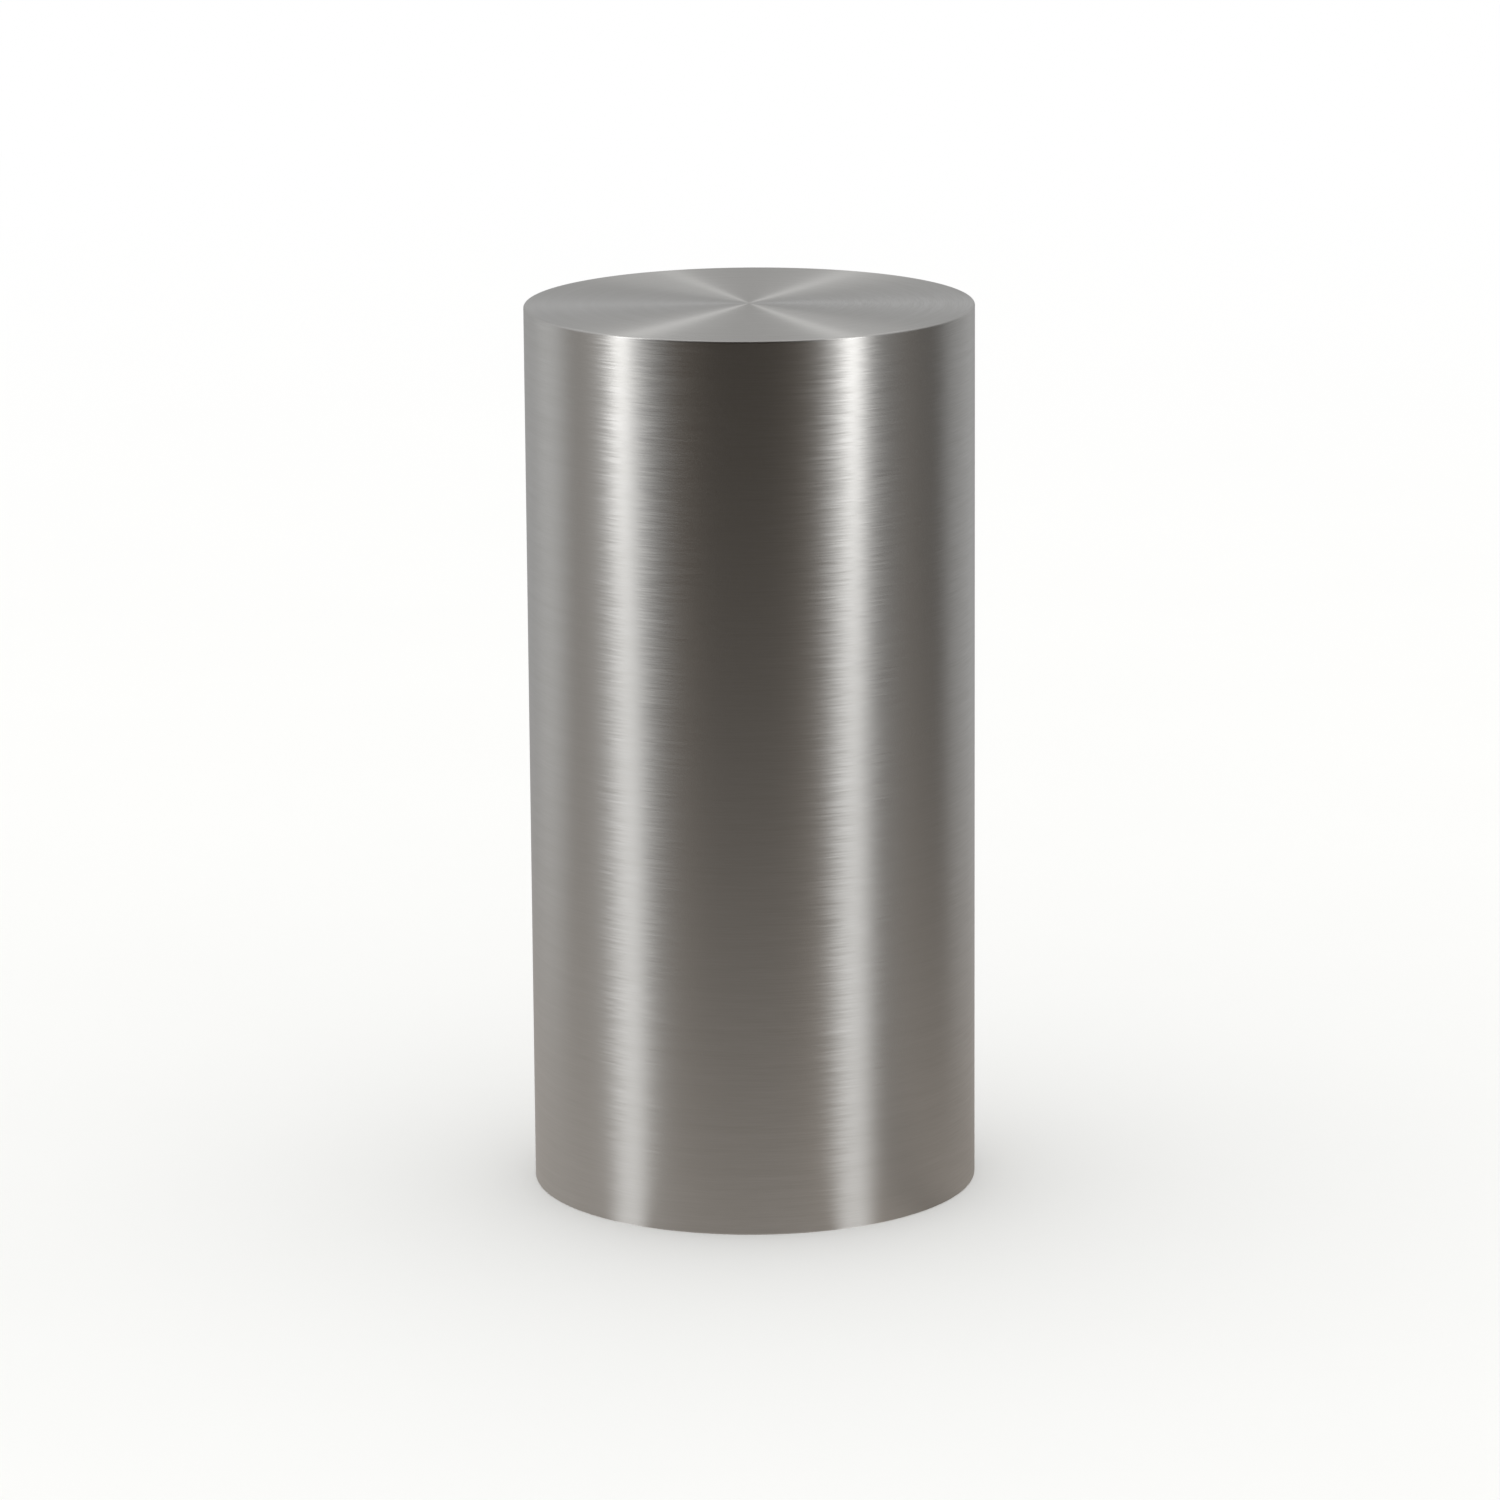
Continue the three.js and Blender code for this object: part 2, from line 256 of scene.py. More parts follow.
def galvanised_steel():
    """Mild steel dipped in molten zinc and a season old: blue-grey and nearly matt under its patina, with
    spangle, the zinc's feathered crystals, 6 to 14 mm across and each a different grey, paler bloom and
    the dip's runs."""
    made, tree, shader, place = surface("hot_dip_galvanised_steel", Metallic=0.55)
    # 110 crystals to the metre, so about 9 mm each, with their outlines pushed about
    wander = node(tree, "TexNoise", {"Vector": place, "Scale": 90.0, "Detail": 2.0})
    nudge = node(tree, "VectorMath", {0: wander.outputs["Color"], "Scale": 4 * MM}, operation="SCALE")
    where = node(tree, "VectorMath", {0: place, 1: nudge}, operation="ADD")
    crystals = node(tree, "TexVoronoi", {"Vector": where, "Scale": 110.0}).outputs["Color"]
    crystal = node(tree, "SeparateXYZ", {0: crystals})
    # each crystal is feathered in a direction of its own
    turn = node(tree, "Math", {0: crystal, 1: FULL_TURN}, operation="MULTIPLY")
    turned_place = node(tree, "VectorRotate", {"Vector": place, "Axis": crystals, "Angle": turn})
    grown = node(tree, "VectorMath", {0: turned_place, 1: (1.0, 1.0, 0.1)}, operation="MULTIPLY")
    feathers = node(tree, "TexNoise", {"Vector": grown, "Scale": pattern_scale(2.2), "Detail": 2.0})
    bloom = node(tree, "TexNoise", {"Vector": place, "Scale": pattern_scale(60), "Detail": 5.0})
    bloomed = node(tree, "Mix", {0: 0.35, 2: crystal, 3: bloom})
    share = node(tree, "Mix", {0: 0.28, 2: bloomed, 3: feathers})
    greys = tones("#9ba1a4", "#aeb3b5", "#c3c7c8", low=0.25, high=0.75)
    colour = node(tree, "ValToRGB", {0: share}, stops=greys)
    duller = node(tree, "MapRange", {0: feathers, 1: LOW, 2: HIGH, 3: 0.0, 4: 0.14})
    by_crystal = node(tree, "MapRange", {0: crystal, 1: 0.0, 2: 1.0, 3: 0.42, 4: 0.56})
    rough = node(tree, "Math", {0: by_crystal, 1: duller}, operation="ADD")
    grain = node(tree, "TexNoise", {"Vector": place, "Scale": pattern_scale(1.2), "Detail": 3.0})
    pitted = node(tree, "Mix", {0: 0.5, 2: crystal, 3: grain})
    hanging = node(tree, "VectorMath", {0: place, 1: (1.0, 1.0, 0.06)}, operation="MULTIPLY")
    runs = node(tree, "TexNoise", {"Vector": hanging, "Scale": pattern_scale(14), "Detail": 2.0})
    relief = node(tree, "Mix", {0: 0.35, 2: pitted, 3: runs})
    feed(tree, shader, colour, rough, relief, 0.12, 0.7)
    return made


def zinc_plated_steel():
    """Steel screw in bright zinc with a clear passivate: silvery, with a thin bluish and straw tint."""
    made, tree, shader, place = surface("bright_zinc_plated_steel", Metallic=1.0)
    tint = node(tree, "TexNoise", {"Vector": place, "Scale": pattern_scale(4), "Detail": 3.0})
    colour = node(tree, "ValToRGB", {0: tint}, stops=tones("#bcc4cd", "#c8c8c6", "#cbc3a8"))
    frost = node(tree, "TexNoise", {"Vector": place, "Scale": pattern_scale(0.7), "Detail": 3.0})
    feed(tree, shader, colour, node(tree, "MapRange", {0: frost, 1: LOW, 2: HIGH, 3: 0.34, 4: 0.22}))
    return made


def epdm_rubber():
    """EPDM rubber sheet, calendered: near black, matt, with a fine dull grain and dust in it on top."""
    made, tree, shader, place = surface("epdm_rubber")
    grain = node(tree, "TexNoise", {"Vector": place, "Scale": pattern_scale(0.7), "Detail": 3.0})
    dust = node(tree, "TexNoise", {"Vector": place, "Scale": pattern_scale(18), "Detail": 5.0})
    dusty = tones("#19191a", "#232322", "#34332f", low=0.35, high=0.75)
    colour = node(tree, "ValToRGB", {0: dust}, stops=dusty)
    rough = node(tree, "MapRange", {0: dust, 1: LOW, 2: HIGH, 3: 0.66, 4: 0.84})
    feed(tree, shader, colour, rough, grain, 0.08, 0.6)
    return made


def natural_nylon():
    """Cast nylon 6, undyed and machined: creamy off-white that lets a little light in, with faint rings
    from the tool and grey rub marks."""
    made, tree, shader, place = surface("natural_cast_nylon", Subsurface_Weight=0.2, Subsurface_Scale=1.0)
    shader.inputs["Subsurface Radius"].default_value = (2 * MM, 1.6 * MM, 1.2 * MM)
    rings = turned_lines(tree, place, 0.6, 90)
    rubbed = node(tree, "TexNoise", {"Vector": place, "Scale": pattern_scale(12), "Detail": 5.0})
    creams = tones("#e2dccb", "#d8d1be", "#bdb7a8", low=0.4, high=0.85)
    colour = node(tree, "ValToRGB", {0: rubbed}, stops=creams)
    rough = node(tree, "MapRange", {0: rubbed, 1: LOW, 2: HIGH, 3: 0.38, 4: 0.52})
    feed(tree, shader, colour, rough, rings, 0.04)
    return made


# ------------------------------------------------------------------ shapes

def skin(shape, rings, closed):
    """Faces from each ring of points to the next, and from the last to the first if closed."""
    for low, high in zip(rings, rings[1:] + rings[:1] if closed else rings[1:]):
        for i in range(len(low)):
            j = (i + 1) % len(low)
            points = list(dict.fromkeys([low[i], low[j], high[j], high[i]]))
            if len(points) > 2:
                shape.faces.new(points)


def turned(outline, segments=128, closed=True):
    """A shape turned about Z from (radius, height) points, where a radius may be a function of the turn.
    A closed outline joins its last point to its first, and one that isn't runs from axis to axis."""
    shape = bmesh.new()
    turns = [FULL_TURN * i / segments for i in range(segments)]
    rings = []
    for radius, height in outline:
        if radius == 0:
            rings.append([shape.verts.new((0, 0, height))] * segments)
            continue
        points = []
        for turn in turns:
            reach = radius(turn) if callable(radius) else radius
            points.append(shape.verts.new((reach * math.cos(turn), reach * math.sin(turn), height)))
        rings.append(points)
    skin(shape, rings, closed)
    return shape


def rounded(outline, bends, steps=5):
    """The outline with its corners in bends, a radius for each corner's number, made round."""
    points = []
    for i, corner in enumerate(outline):
        here = Vector(corner)
        if i not in bends:
            points.append(tuple(here))
            continue
        before = (Vector(outline[i - 1]) - here).normalized()
        after = (Vector(outline[(i + 1) % len(outline)]) - here).normalized()
        half = before.angle(after) / 2
        centre = here + (before + after).normalized() * bends[i] / math.sin(half)
        start = here + before * bends[i] / math.tan(half) - centre
        end = here + after * bends[i] / math.tan(half) - centre
        for step in range(steps + 1):
            share = step / steps
            swept = start.angle(end)
            arm = start * math.sin((1 - share) * swept) + end * math.sin(share * swept)
            points.append(tuple(centre + arm / math.sin(swept)))
    return points


def ring(inner, outer, bottom, top, bend, segments=128):
    outline = [(inner, bottom), (outer, bottom), (outer, top), (inner, top)]
    return turned(rounded(outline, {i: bend for i in range(4)}), segments)


def disc(radius, bottom, top, bend):
    outline = [(0, bottom), (radius, bottom), (radius, top), (0, top)]
    return turned(rounded(outline, {1: bend, 2: bend}), 192, closed=False)


def hexagon(across_flats):
    """A ring's radius round a hexagon."""
    sixth = FULL_TURN / 6
    return lambda turn: across_flats / 2 / math.cos(turn % sixth - sixth / 2)


def thread(root, crest, pitch, low, high, rows_per_pitch=8):
    """Outline points for a screw thread from low to high that runs out over a pitch at either end."""
    count = max(1, round((high - low) / pitch * rows_per_pitch))

    def radius_at(height):
        fade = min(1, (height - low) / pitch, (high - height) / pitch)

        def radius(turn):
            phase = (height / pitch - turn / FULL_TURN) % 1
            ridge = min(1, max(0, 1.25 * (1 - abs(2 * phase - 1)) - 0.12))
            return root + (crest - root) * ridge * max(0, fade)
        return radius
    heights = [low + (high - low) * i / count for i in range(count + 1)]
    return [(radius_at(height), height) for height in heights]


def hexagon_socket(across_flats, depth):
    """Outline points for a key socket, from its chamfered mouth at z = 0 to the drill's cone in it."""
    hexagonal = hexagon(across_flats)
    mouth = across_flats * 0.63
    return [(mouth, 0), (hexagonal, -0.08 * across_flats), (hexagonal, -depth),
            (across_flats * 0.3, -depth), (0, -depth - across_flats * 0.15)]


def through_hole(radius, bottom, top, flare):
    """A tool along Z that cuts a hole with a small chamfer where it meets the faces at bottom and top."""
    beyond = 2 * MM
    mouth = radius + flare + beyond
    outline = [(0, bottom - beyond), (mouth, bottom - beyond), (radius, bottom + flare),
               (radius, top - flare), (mouth, top + beyond), (0, top + beyond)]
    return turned(outline, 64, closed=False)


def moved(shape, *steps):
    """The shape after each matrix in turn."""
    for step in steps:
        bmesh.ops.transform(shape, matrix=step, verts=shape.verts)
    return shape


def turn_about_axis(turn):
    return Matrix.Rotation(turn, 4, "Z")


def outward(turn, height):
    """Lays +Z out along the bollard's radius at that turn, at a height."""
    return turn_about_axis(turn) @ Matrix.Translation((0, 0, height)) @ Matrix.Rotation(math.pi / 2, 4, "Y")


# ------------------------------------------------------------------ pieces

def mesh_of(name, shape):
    bmesh.ops.recalc_face_normals(shape, faces=shape.faces)
    data = bpy.data.meshes.new(name)
    shape.to_mesh(data)
    shape.free()
    return data


def stand_alone(name, data):
    made = bpy.data.objects.new(name, data)
    bpy.context.scene.collection.objects.link(made)
    return made


def settled(made):
    """Makes the modifiers' result the piece's own mesh."""
    graph = bpy.context.evaluated_depsgraph_get()
    before = made.data
    made.data = bpy.data.meshes.new_from_object(made.evaluated_get(graph))
    made.data.name = made.name
    made.modifiers.clear()
    bpy.data.meshes.remove(before)


def combined(made, shape, operation):
    """Cuts the shape from the piece, or keeps what the two share."""
    tool = stand_alone("tool", mesh_of("tool", shape))
    boolean = made.modifiers.new("cut", "BOOLEAN")
    boolean.object = tool
    boolean.operation = operation
    boolean.solver = "EXACT"
    bpy.context.view_layer.update()
    settled(made)
    bpy.data.meshes.remove(tool.data)


def piece(name, body, material, shape, replaces=None, cuts=(), kept=None, bevel=0.0, place=None):
    """A finished piece: cut, its edges bevelled, smooth but for its corners, on its body."""
    made = stand_alone(name, mesh_of(name, shape))
    for tool in cuts:
        combined(made, tool, "DIFFERENCE")
    if kept:
        combined(made, kept, "INTERSECT")
    if bevel:
        edges = made.modifiers.new("bevel", "BEVEL")
        edges.width = bevel
        edges.segments = 4
        edges.limit_method = "ANGLE"
        edges.angle_limit = math.radians(35)
        bpy.context.view_layer.update()
        settled(made)
    made.data.shade_smooth()
    made.data.set_sharp_from_angle(angle=math.radians(33))
    weighted = made.modifiers.new("weighted normals", "WEIGHTED_NORMAL")
    weighted.keep_sharp = True
    made.data.materials.clear()
    made.data.materials.append(material)
    if place:
        made.matrix_world = place
    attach(made, body)
    if replaces:
        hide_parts(replaces)
    return made


# ------------------------------------------------------------------ welds

def fillet(path, leg, closed, ripple_mm=2.0):
    """A hand-laid fillet weld along path, whose points are (corner, along one face, along the other).
    It bulges a little and has a ripple for each drop of metal."""
    shape = bmesh.new()
    rings = []
    sunk = 0.15 * MM
    across = 6
    for i, (corner, one, other) in enumerate(path):
        run = i * LAY_MM / ripple_mm
        run += 0.5 * noise.noise(Vector((run * 0.4, 7.5, leg * 1000)))
        swell = 1 + 0.07 * noise.noise(Vector((run * 0.35, leg * 1000, 0.5)))
        if not closed:
            swell *= min(1, 0.35 + 0.16 * min(i, len(path) - 1 - i))
        root = corner - (one + other) * sunk
        points = [root]
        for step in range(across + 1):
            turn = math.pi / 2 * step / across
            flat = 1 / (math.cos(turn) + math.sin(turn))
            ripple = abs(math.sin(math.pi * (run + 0.3 * math.sin(2 * turn))))
            reach = leg * swell * (0.55 * flat + 0.45 * 0.93) * (0.96 + 0.055 * ripple * math.sin(2 * turn))
            points.append(root + (one * math.cos(turn) + other * math.sin(turn)) * reach)
        rings.append([shape.verts.new(point) for point in points])
    skin(shape, rings, closed)
    if not closed:
        shape.faces.new(rings[0])
        shape.faces.new(rings[-1])
    return shape


def round_path(radius, height, way_out, way_up):
    """Corner points round the axis: one face runs out or in, the other up or down."""
    count = round(FULL_TURN * radius / (LAY_MM * MM))
    path = []
    for i in range(count):
        turn = FULL_TURN * i / count
        out = Vector((math.cos(turn), math.sin(turn), 0))
        path.append((out * radius + UP * height, out * way_out, UP * way_up))
    return path


def straight_path(start, end, one, other):
    start, end = Vector(start), Vector(end)
    count = round((end - start).length / (LAY_MM * MM))
    return [(start.lerp(end, i / count), Vector(one), Vector(other)) for i in range(count + 1)]


def gathered(shapes):
    """Several shapes as one."""
    whole = bmesh.new()
    for shape in shapes:
        data = mesh_of("part", shape)
        whole.from_mesh(data)
        bpy.data.meshes.remove(data)
    return whole


# ------------------------------------------------------------------ the sleeve

def sleeve_wall(finish, inside):
    """The rolled tube: brushed outside, mill finish inside. Its corners' normals point straight out, so
    that the screw holes leave no facets in the reflections."""
    outline = [(BORE, 0), (RADIUS, 0), (RADIUS, DISC_BOTTOM), (BORE, DISC_BOTTOM)]
    shape = turned(rounded(outline, {0: 0.4 * MM, 1: FOOT_ROUND}), 256)
    cuts = [moved(through_hole(SHELL_HOLE, BORE, RADIUS, 0.4 * MM), outward(turn, CLAMP_HEIGHT))
            for _, turn in mirrored_sides()]
    made = piece("sleeve_wall", "sleeve", finish, shape, "sleeve_shell", cuts)
    data = made.data
    data.materials.append(inside)
    made.modifiers.clear()
    facing = [corner.vector.copy() for corner in data.corner_normals]
    for face in data.polygons:
        centre = Vector((face.center.x, face.center.y, 0))
        if abs(face.normal.z) > 0.05 or abs(face.normal.dot(centre.normalized())) < 0.95:
            continue
        side = 1 if face.normal.dot(centre) > 0 else -1
        face.material_index = 0 if side > 0 else 1
        for loop in face.loop_indices:
            point = data.vertices[data.loops[loop].vertex_index].co
            facing[loop] = Vector((point.x, point.y, 0)).normalized() * side
    data.normals_split_custom_set(facing)


def top_disc(finish, wall_finish, underside):
    """The disc: its edge and rim are linished with the wall, and its underside is left as it came."""
    outline = [(0, DISC_BOTTOM), (RADIUS, DISC_BOTTOM), (RADIUS, HEIGHT), (0, HEIGHT)]
    shape = turned(rounded(outline, {2: RIM}, 8), 256, closed=False)
    made = piece("top_disc", "sleeve", finish, shape, "sleeve_top_disc")
    made.data.materials.append(wall_finish)
    made.data.materials.append(underside)
    for face in made.data.polygons:
        if face.normal.z < 0.97:
            face.material_index = 2 if face.normal.z < -0.5 else 1


def socket(stainless, weld, nylon):
    """The ring under the disc and the flanged nylon bush in it, which fit over the core's top."""
    low = corners("socket_ring")[0].z
    shape = ring(RING_INNER, RING_OUTER, low, DISC_BOTTOM, 0.5 * MM)
    piece("ring_under_disc", "sleeve", stainless, shape, "socket_ring")
    bead = fillet(round_path(RING_OUTER, DISC_BOTTOM, 1, -1), 4 * MM, True)
    piece("ring_weld", "sleeve", weld, bead)
    bottom, top = corners("socket_liner")[0].z, corners("socket_liner")[1].z
    flange = low - GAP
    body = RING_INNER - GAP
    outline = [(LINER_BORE + 3 * MM, bottom), (RING_OUTER, bottom), (RING_OUTER, flange), (body, flange),
               (body, top), (LINER_BORE, top), (LINER_BORE, flange)]
    bends = {0: 0.6 * MM, 1: 0.8 * MM, 2: 0.3 * MM, 4: 0.5 * MM, 5: 0.5 * MM, 6: 0.8 * MM}
    piece("nylon_bush", "sleeve", nylon, turned(rounded(outline, bends)), "socket_liner")


def boss(side, turn, stainless, weld):
    """A threaded boss behind the wall and the bead that joins its round face to the curved wall."""
    seat = math.sqrt(BORE ** 2 - BOSS_RADIUS ** 2) - 0.6 * MM
    bore = GRUB_RADIUS + GAP
    chamfer = 1.5 * MM
    mouth = 0.8 * MM
    threads = thread(bore + 0.6 * MM, bore, M12_PITCH, BOSS_INNER + mouth, seat - mouth)
    outline = [(bore + mouth, BOSS_INNER), (BOSS_RADIUS - chamfer, BOSS_INNER),
               (BOSS_RADIUS, BOSS_INNER + chamfer), (BOSS_RADIUS, seat), (bore + mouth, seat)]
    shape = turned(outline + threads[::-1], 48)
    place = outward(turn, CLAMP_HEIGHT)
    piece(f"threaded_boss_{side}", "sleeve", stainless, shape, f"boss_{side}",
          place=place)
    count = round(FULL_TURN * BOSS_RADIUS / (LAY_MM * MM))
    path = []
    for i in range(count):
        t = FULL_TURN * i / count
        out = Vector((math.cos(t), math.sin(t), 0))
        wall = math.sqrt(BORE ** 2 - (BOSS_RADIUS * math.sin(t)) ** 2)
        path.append((out * BOSS_RADIUS + UP * wall, out, -UP))
    bead = fillet(path, 3.2 * MM, True)
    piece(f"boss_weld_{side}", "sleeve", weld, bead, place=place)


def grub_screw(side, turn, stainless):
    """An M12 grub screw with a flat point and a hexagon socket, made with its head at its own origin."""
    length = GRUB_HEAD - GRUB_TIP
    root = GRUB_RADIUS - 1.05 * MM
    outline = [(0, -length), (3.6 * MM, -length), (4.0 * MM, -length + 0.3 * MM)]
    outline += thread(root, GRUB_RADIUS, M12_PITCH, -length + 1.1 * MM, -0.8 * MM, 10)
    outline += [(GRUB_RADIUS - 0.1 * MM, -0.6 * MM), (GRUB_RADIUS - 0.7 * MM, 0)]
    outline += hexagon_socket(GRUB_SOCKET, 7 * MM)
    shape = turned(outline, 60, closed=False)
    place = outward(turn, CLAMP_HEIGHT) @ Matrix.Translation((0, 0, GRUB_HEAD))
    piece(f"grub_screw_{side}", f"{side}_screw", stainless, shape,
          f"clamp_screw_{side}", place=place)


# ------------------------------------------------------------------ the core

def floor_holes(bottom, top, flare):
    """Tools for the drain hole and the four anchor holes."""
    out = Matrix.Translation((ANCHOR_CIRCLE, 0, 0))
    anchors = [moved(through_hole(ANCHOR_HOLE, bottom, top, flare), out, turn_about_axis(turn))
               for turn in DIAGONALS]
    return [through_hole(DRAIN_HOLE, bottom, top, flare), *anchors]


def base(galvanised, rubber):
    low, high = corners("base_gasket")
    shape = disc(PLATE_RADIUS, low.z, high.z, 0.4 * MM)
    piece("rubber_gasket", "core", rubber, shape, "base_gasket",
          floor_holes(low.z, high.z, 0.3 * MM))
    low, high = corners("base_plate")
    shape = disc(PLATE_RADIUS, low.z, high.z, 1.0 * MM)
    piece("galvanised_base_plate", "core", galvanised, shape, "base_plate",
          floor_holes(low.z, high.z, 0.8 * MM))


def tube(galvanised):
    low, high = corners("core_tube")
    shape = ring(TUBE_INNER, TUBE_OUTER, low.z, high.z, 0.6 * MM, 160)
    vents = [moved(through_hole(VENT_RADIUS, TUBE_INNER, TUBE_OUTER, 0.7 * MM), outward(turn, VENT_HEIGHT))
             for turn in (DIAGONALS[0], DIAGONALS[2])]
    piece("galvanised_tube", "core", galvanised, shape, "core_tube", vents)
    bead = fillet(round_path(TUBE_OUTER, PLATE_TOP, 1, 1), 7 * MM, True, 3.0)
    piece("tube_foot_weld", "core", galvanised, bead)


def tube_cap(galvanised, rubber, zinc):
    """The plate on the tube, the rubber pad on it, and the screw sunk in the pad."""
    low, high = corners("core_top_plate")
    screw = dict(radius=4 * MM, head=8 * MM, sink=4.4 * MM, length=25 * MM, socket=5 * MM)
    bore = screw["radius"] + GAP
    outline = [(bore, low.z), (TUBE_OUTER, low.z), (TUBE_OUTER, high.z), (bore, high.z)]
    shape = turned(rounded(outline, {1: 0.6 * MM, 2: 1.2 * MM, 3: 0.3 * MM}), 160)
    piece("galvanised_tube_cap", "core", galvanised, shape, "core_top_plate")
    # the weld between tube and cap, dressed flush so that the bush slides over it
    tube_top = corners("core_tube")[1].z
    lap = 0.7 * MM
    flush = TUBE_OUTER - 0.05 * MM
    dressed = ring(TUBE_OUTER - 1.6 * MM, flush, tube_top - lap, low.z + lap, 0.1 * MM, 160)
    piece("dressed_cap_weld", "core", galvanised, dressed)
    low, high = corners("top_pad")
    head = corners("top_pad_screw")[1].z
    hole = countersunk_outline(screw, head)
    chamfer = 0.6 * MM
    outline = [(high.x, low.z), (high.x, high.z), (hole[0][0] + chamfer, high.z)]
    outline += [(hole[0][0], high.z - chamfer), *hole[1:], (hole[-1][0], low.z)]
    shape = turned(rounded(outline, {0: 1.0 * MM, 1: 1.6 * MM}))
    piece("rubber_pad", "core", rubber, shape, "top_pad")
    piece("pad_screw", "core", zinc, countersunk_screw(screw), "top_pad_screw",
          place=Matrix.Translation((0, 0, head)))


def countersunk_outline(screw, head):
    """Outline points down the hole of a countersunk screw whose head is at that height."""
    rim = screw["head"] + GAP
    shank = screw["radius"] + GAP
    return [(rim, head + MM), (rim, head - 0.4 * MM), (shank, head - screw["sink"])]


def countersunk_screw(screw):
    """A hexagon-socket countersunk screw with its head at z = 0."""
    root = screw["radius"] * 0.84
    pitch = screw["radius"] * 0.32
    length = screw["length"]
    outline = [(0, -length), (root * 0.8, -length)]
    start, end = -length + 0.2 * screw["radius"], -screw["sink"] - 0.5 * MM
    outline += thread(root, screw["radius"], pitch, start, end)
    outline += [(screw["radius"], -screw["sink"]), (screw["head"], -0.45 * MM), (screw["head"], -0.15 * MM),
                (screw["head"] - 0.2 * MM, 0), *hexagon_socket(screw["socket"], screw["socket"] * 0.62)]
    return turned(outline, 60, closed=False)


def rib_outline():
    """The gusset seen from its side, as (distance from the axis, height) points."""
    inner = TUBE_OUTER + GAP
    bottom = PLATE_TOP + GAP
    foot = corners("rib_1")[1].x
    step = BAND_BOTTOM - GAP
    seat = BAND_INNER - 2 * GAP
    mouse_hole = 14 * MM
    outline = [(foot, bottom), (foot, step), (seat, step), (seat, BAND_TOP), (inner, corners("rib_1")[1].z)]
    turns = [FULL_TURN / 4 * (1 - i / 12) for i in range(13)]
    outline += [(inner + mouse_hole * math.cos(t), bottom + mouse_hole * math.sin(t)) for t in turns]
    return outline


def rib(number, turn, galvanised):
    """A gusset plate, its short welds to the tube, and those to the base plate and the band."""
    shape = bmesh.new()
    rings = [[shape.verts.new((x, y, z)) for x, z in rib_outline()] for y in (-RIB / 2, RIB / 2)]
    skin(shape, rings, False)
    for face in rings:
        shape.faces.new(face)
    place = turn_about_axis(turn)
    piece(f"galvanised_rib_{number}", "core", galvanised, shape, f"rib_{number}",
          bevel=0.9 * MM, place=place)
    inner, foot = TUBE_OUTER + 18 * MM, corners("rib_1")[1].x - 2 * MM
    low_end, high_end = BAND_BOTTOM + 4 * MM, BAND_TOP - 4 * MM
    beads = []
    for side in (-1, 1):
        y = side * RIB / 2
        sideways = (0, side, 0)
        reach = math.sqrt(TUBE_OUTER ** 2 - y ** 2)
        for low, high in RIB_BEADS_MM:
            beads.append(straight_path((reach, y, low * MM), (reach, y, high * MM), sideways, (1, 0, 0)))
        beads.append(straight_path((inner, y, PLATE_TOP), (foot, y, PLATE_TOP), sideways, UP))
        inside = math.sqrt(BAND_INNER ** 2 - y ** 2)
        beads.append(straight_path((inside, y, low_end), (inside, y, high_end), sideways, (-1, 0, 0)))
    shape = gathered([fillet(path, 4.5 * MM, False, 2.6) for path in beads])
    piece(f"rib_welds_{number}", "core", galvanised, shape, place=place)


def clamp_band(galvanised):
    shape = ring(BAND_INNER, BAND_OUTER, BAND_BOTTOM, BAND_TOP, 1.2 * MM, 160)
    piece("galvanised_clamp_band", "core", galvanised, shape, "clamp_band")
    # the butt weld that closes the rolled bar, at the back between two ribs
    turn = FULL_TURN * 0.3
    out = Vector((math.cos(turn), math.sin(turn), 0))
    along = UP.cross(out)
    crown = 2.4 * MM
    low, high = BAND_BOTTOM + 1.5 * MM, BAND_TOP - 1.5 * MM
    one, other = (out + along).normalized(), (out - along).normalized()
    steps = 90
    path = [(out * (BAND_OUTER - crown * 0.62) + UP * (low + (high - low) * i / steps), one, other)
            for i in range(steps + 1)]
    piece("band_weld", "core", galvanised, fillet(path, crown, False, 2.2))


def foot_spacer(number, turn, nylon, zinc):
    """A nylon block on the base plate's edge that centres the sleeve's foot, and its screw."""
    low, high = corners("foot_spacer_1")
    inner = PLATE_RADIUS + GAP
    lead_in = 4 * MM
    middle = (low.z + high.z) / 2
    shape = turned([(inner, low.z), (SPACER_OUTER, low.z), (SPACER_OUTER, high.z - lead_in),
                    (SPACER_OUTER - lead_in, high.z), (inner, high.z)], 240)
    # the block keeps the part of that ring which is as wide as the spacer
    block = bmesh.new()
    bmesh.ops.create_cube(block, size=1)
    about_edge = Matrix.Translation((140 * MM, 0, 0))
    moved(block, Matrix.Diagonal((40 * MM, SPACER_WIDTH, 80 * MM, 1)), about_edge)
    head = corners("spacer_screw_1")[1].x
    screw = dict(radius=2.5 * MM, head=5 * MM, sink=2.8 * MM, length=20 * MM, socket=3 * MM)
    points = countersunk_outline(screw, 0)
    above, below = 5 * MM, -25 * MM
    hole = turned([(0, above), (points[0][0] + 2 * MM, above), *points[1:], (points[2][0], below),
                   (0, below)], 48, closed=False)
    hole = moved(hole, outward(0, middle) @ Matrix.Translation((0, 0, head)))
    piece(f"nylon_foot_spacer_{number}", "core", nylon, shape, f"foot_spacer_{number}",
          cuts=[hole], kept=block, bevel=0.5 * MM, place=turn_about_axis(turn))
    place = outward(turn, middle) @ Matrix.Translation((0, 0, head))
    piece(f"foot_spacer_screw_{number}", "core", zinc, countersunk_screw(screw),
          f"spacer_screw_{number}", place=place)


# ------------------------------------------------------------------ studio

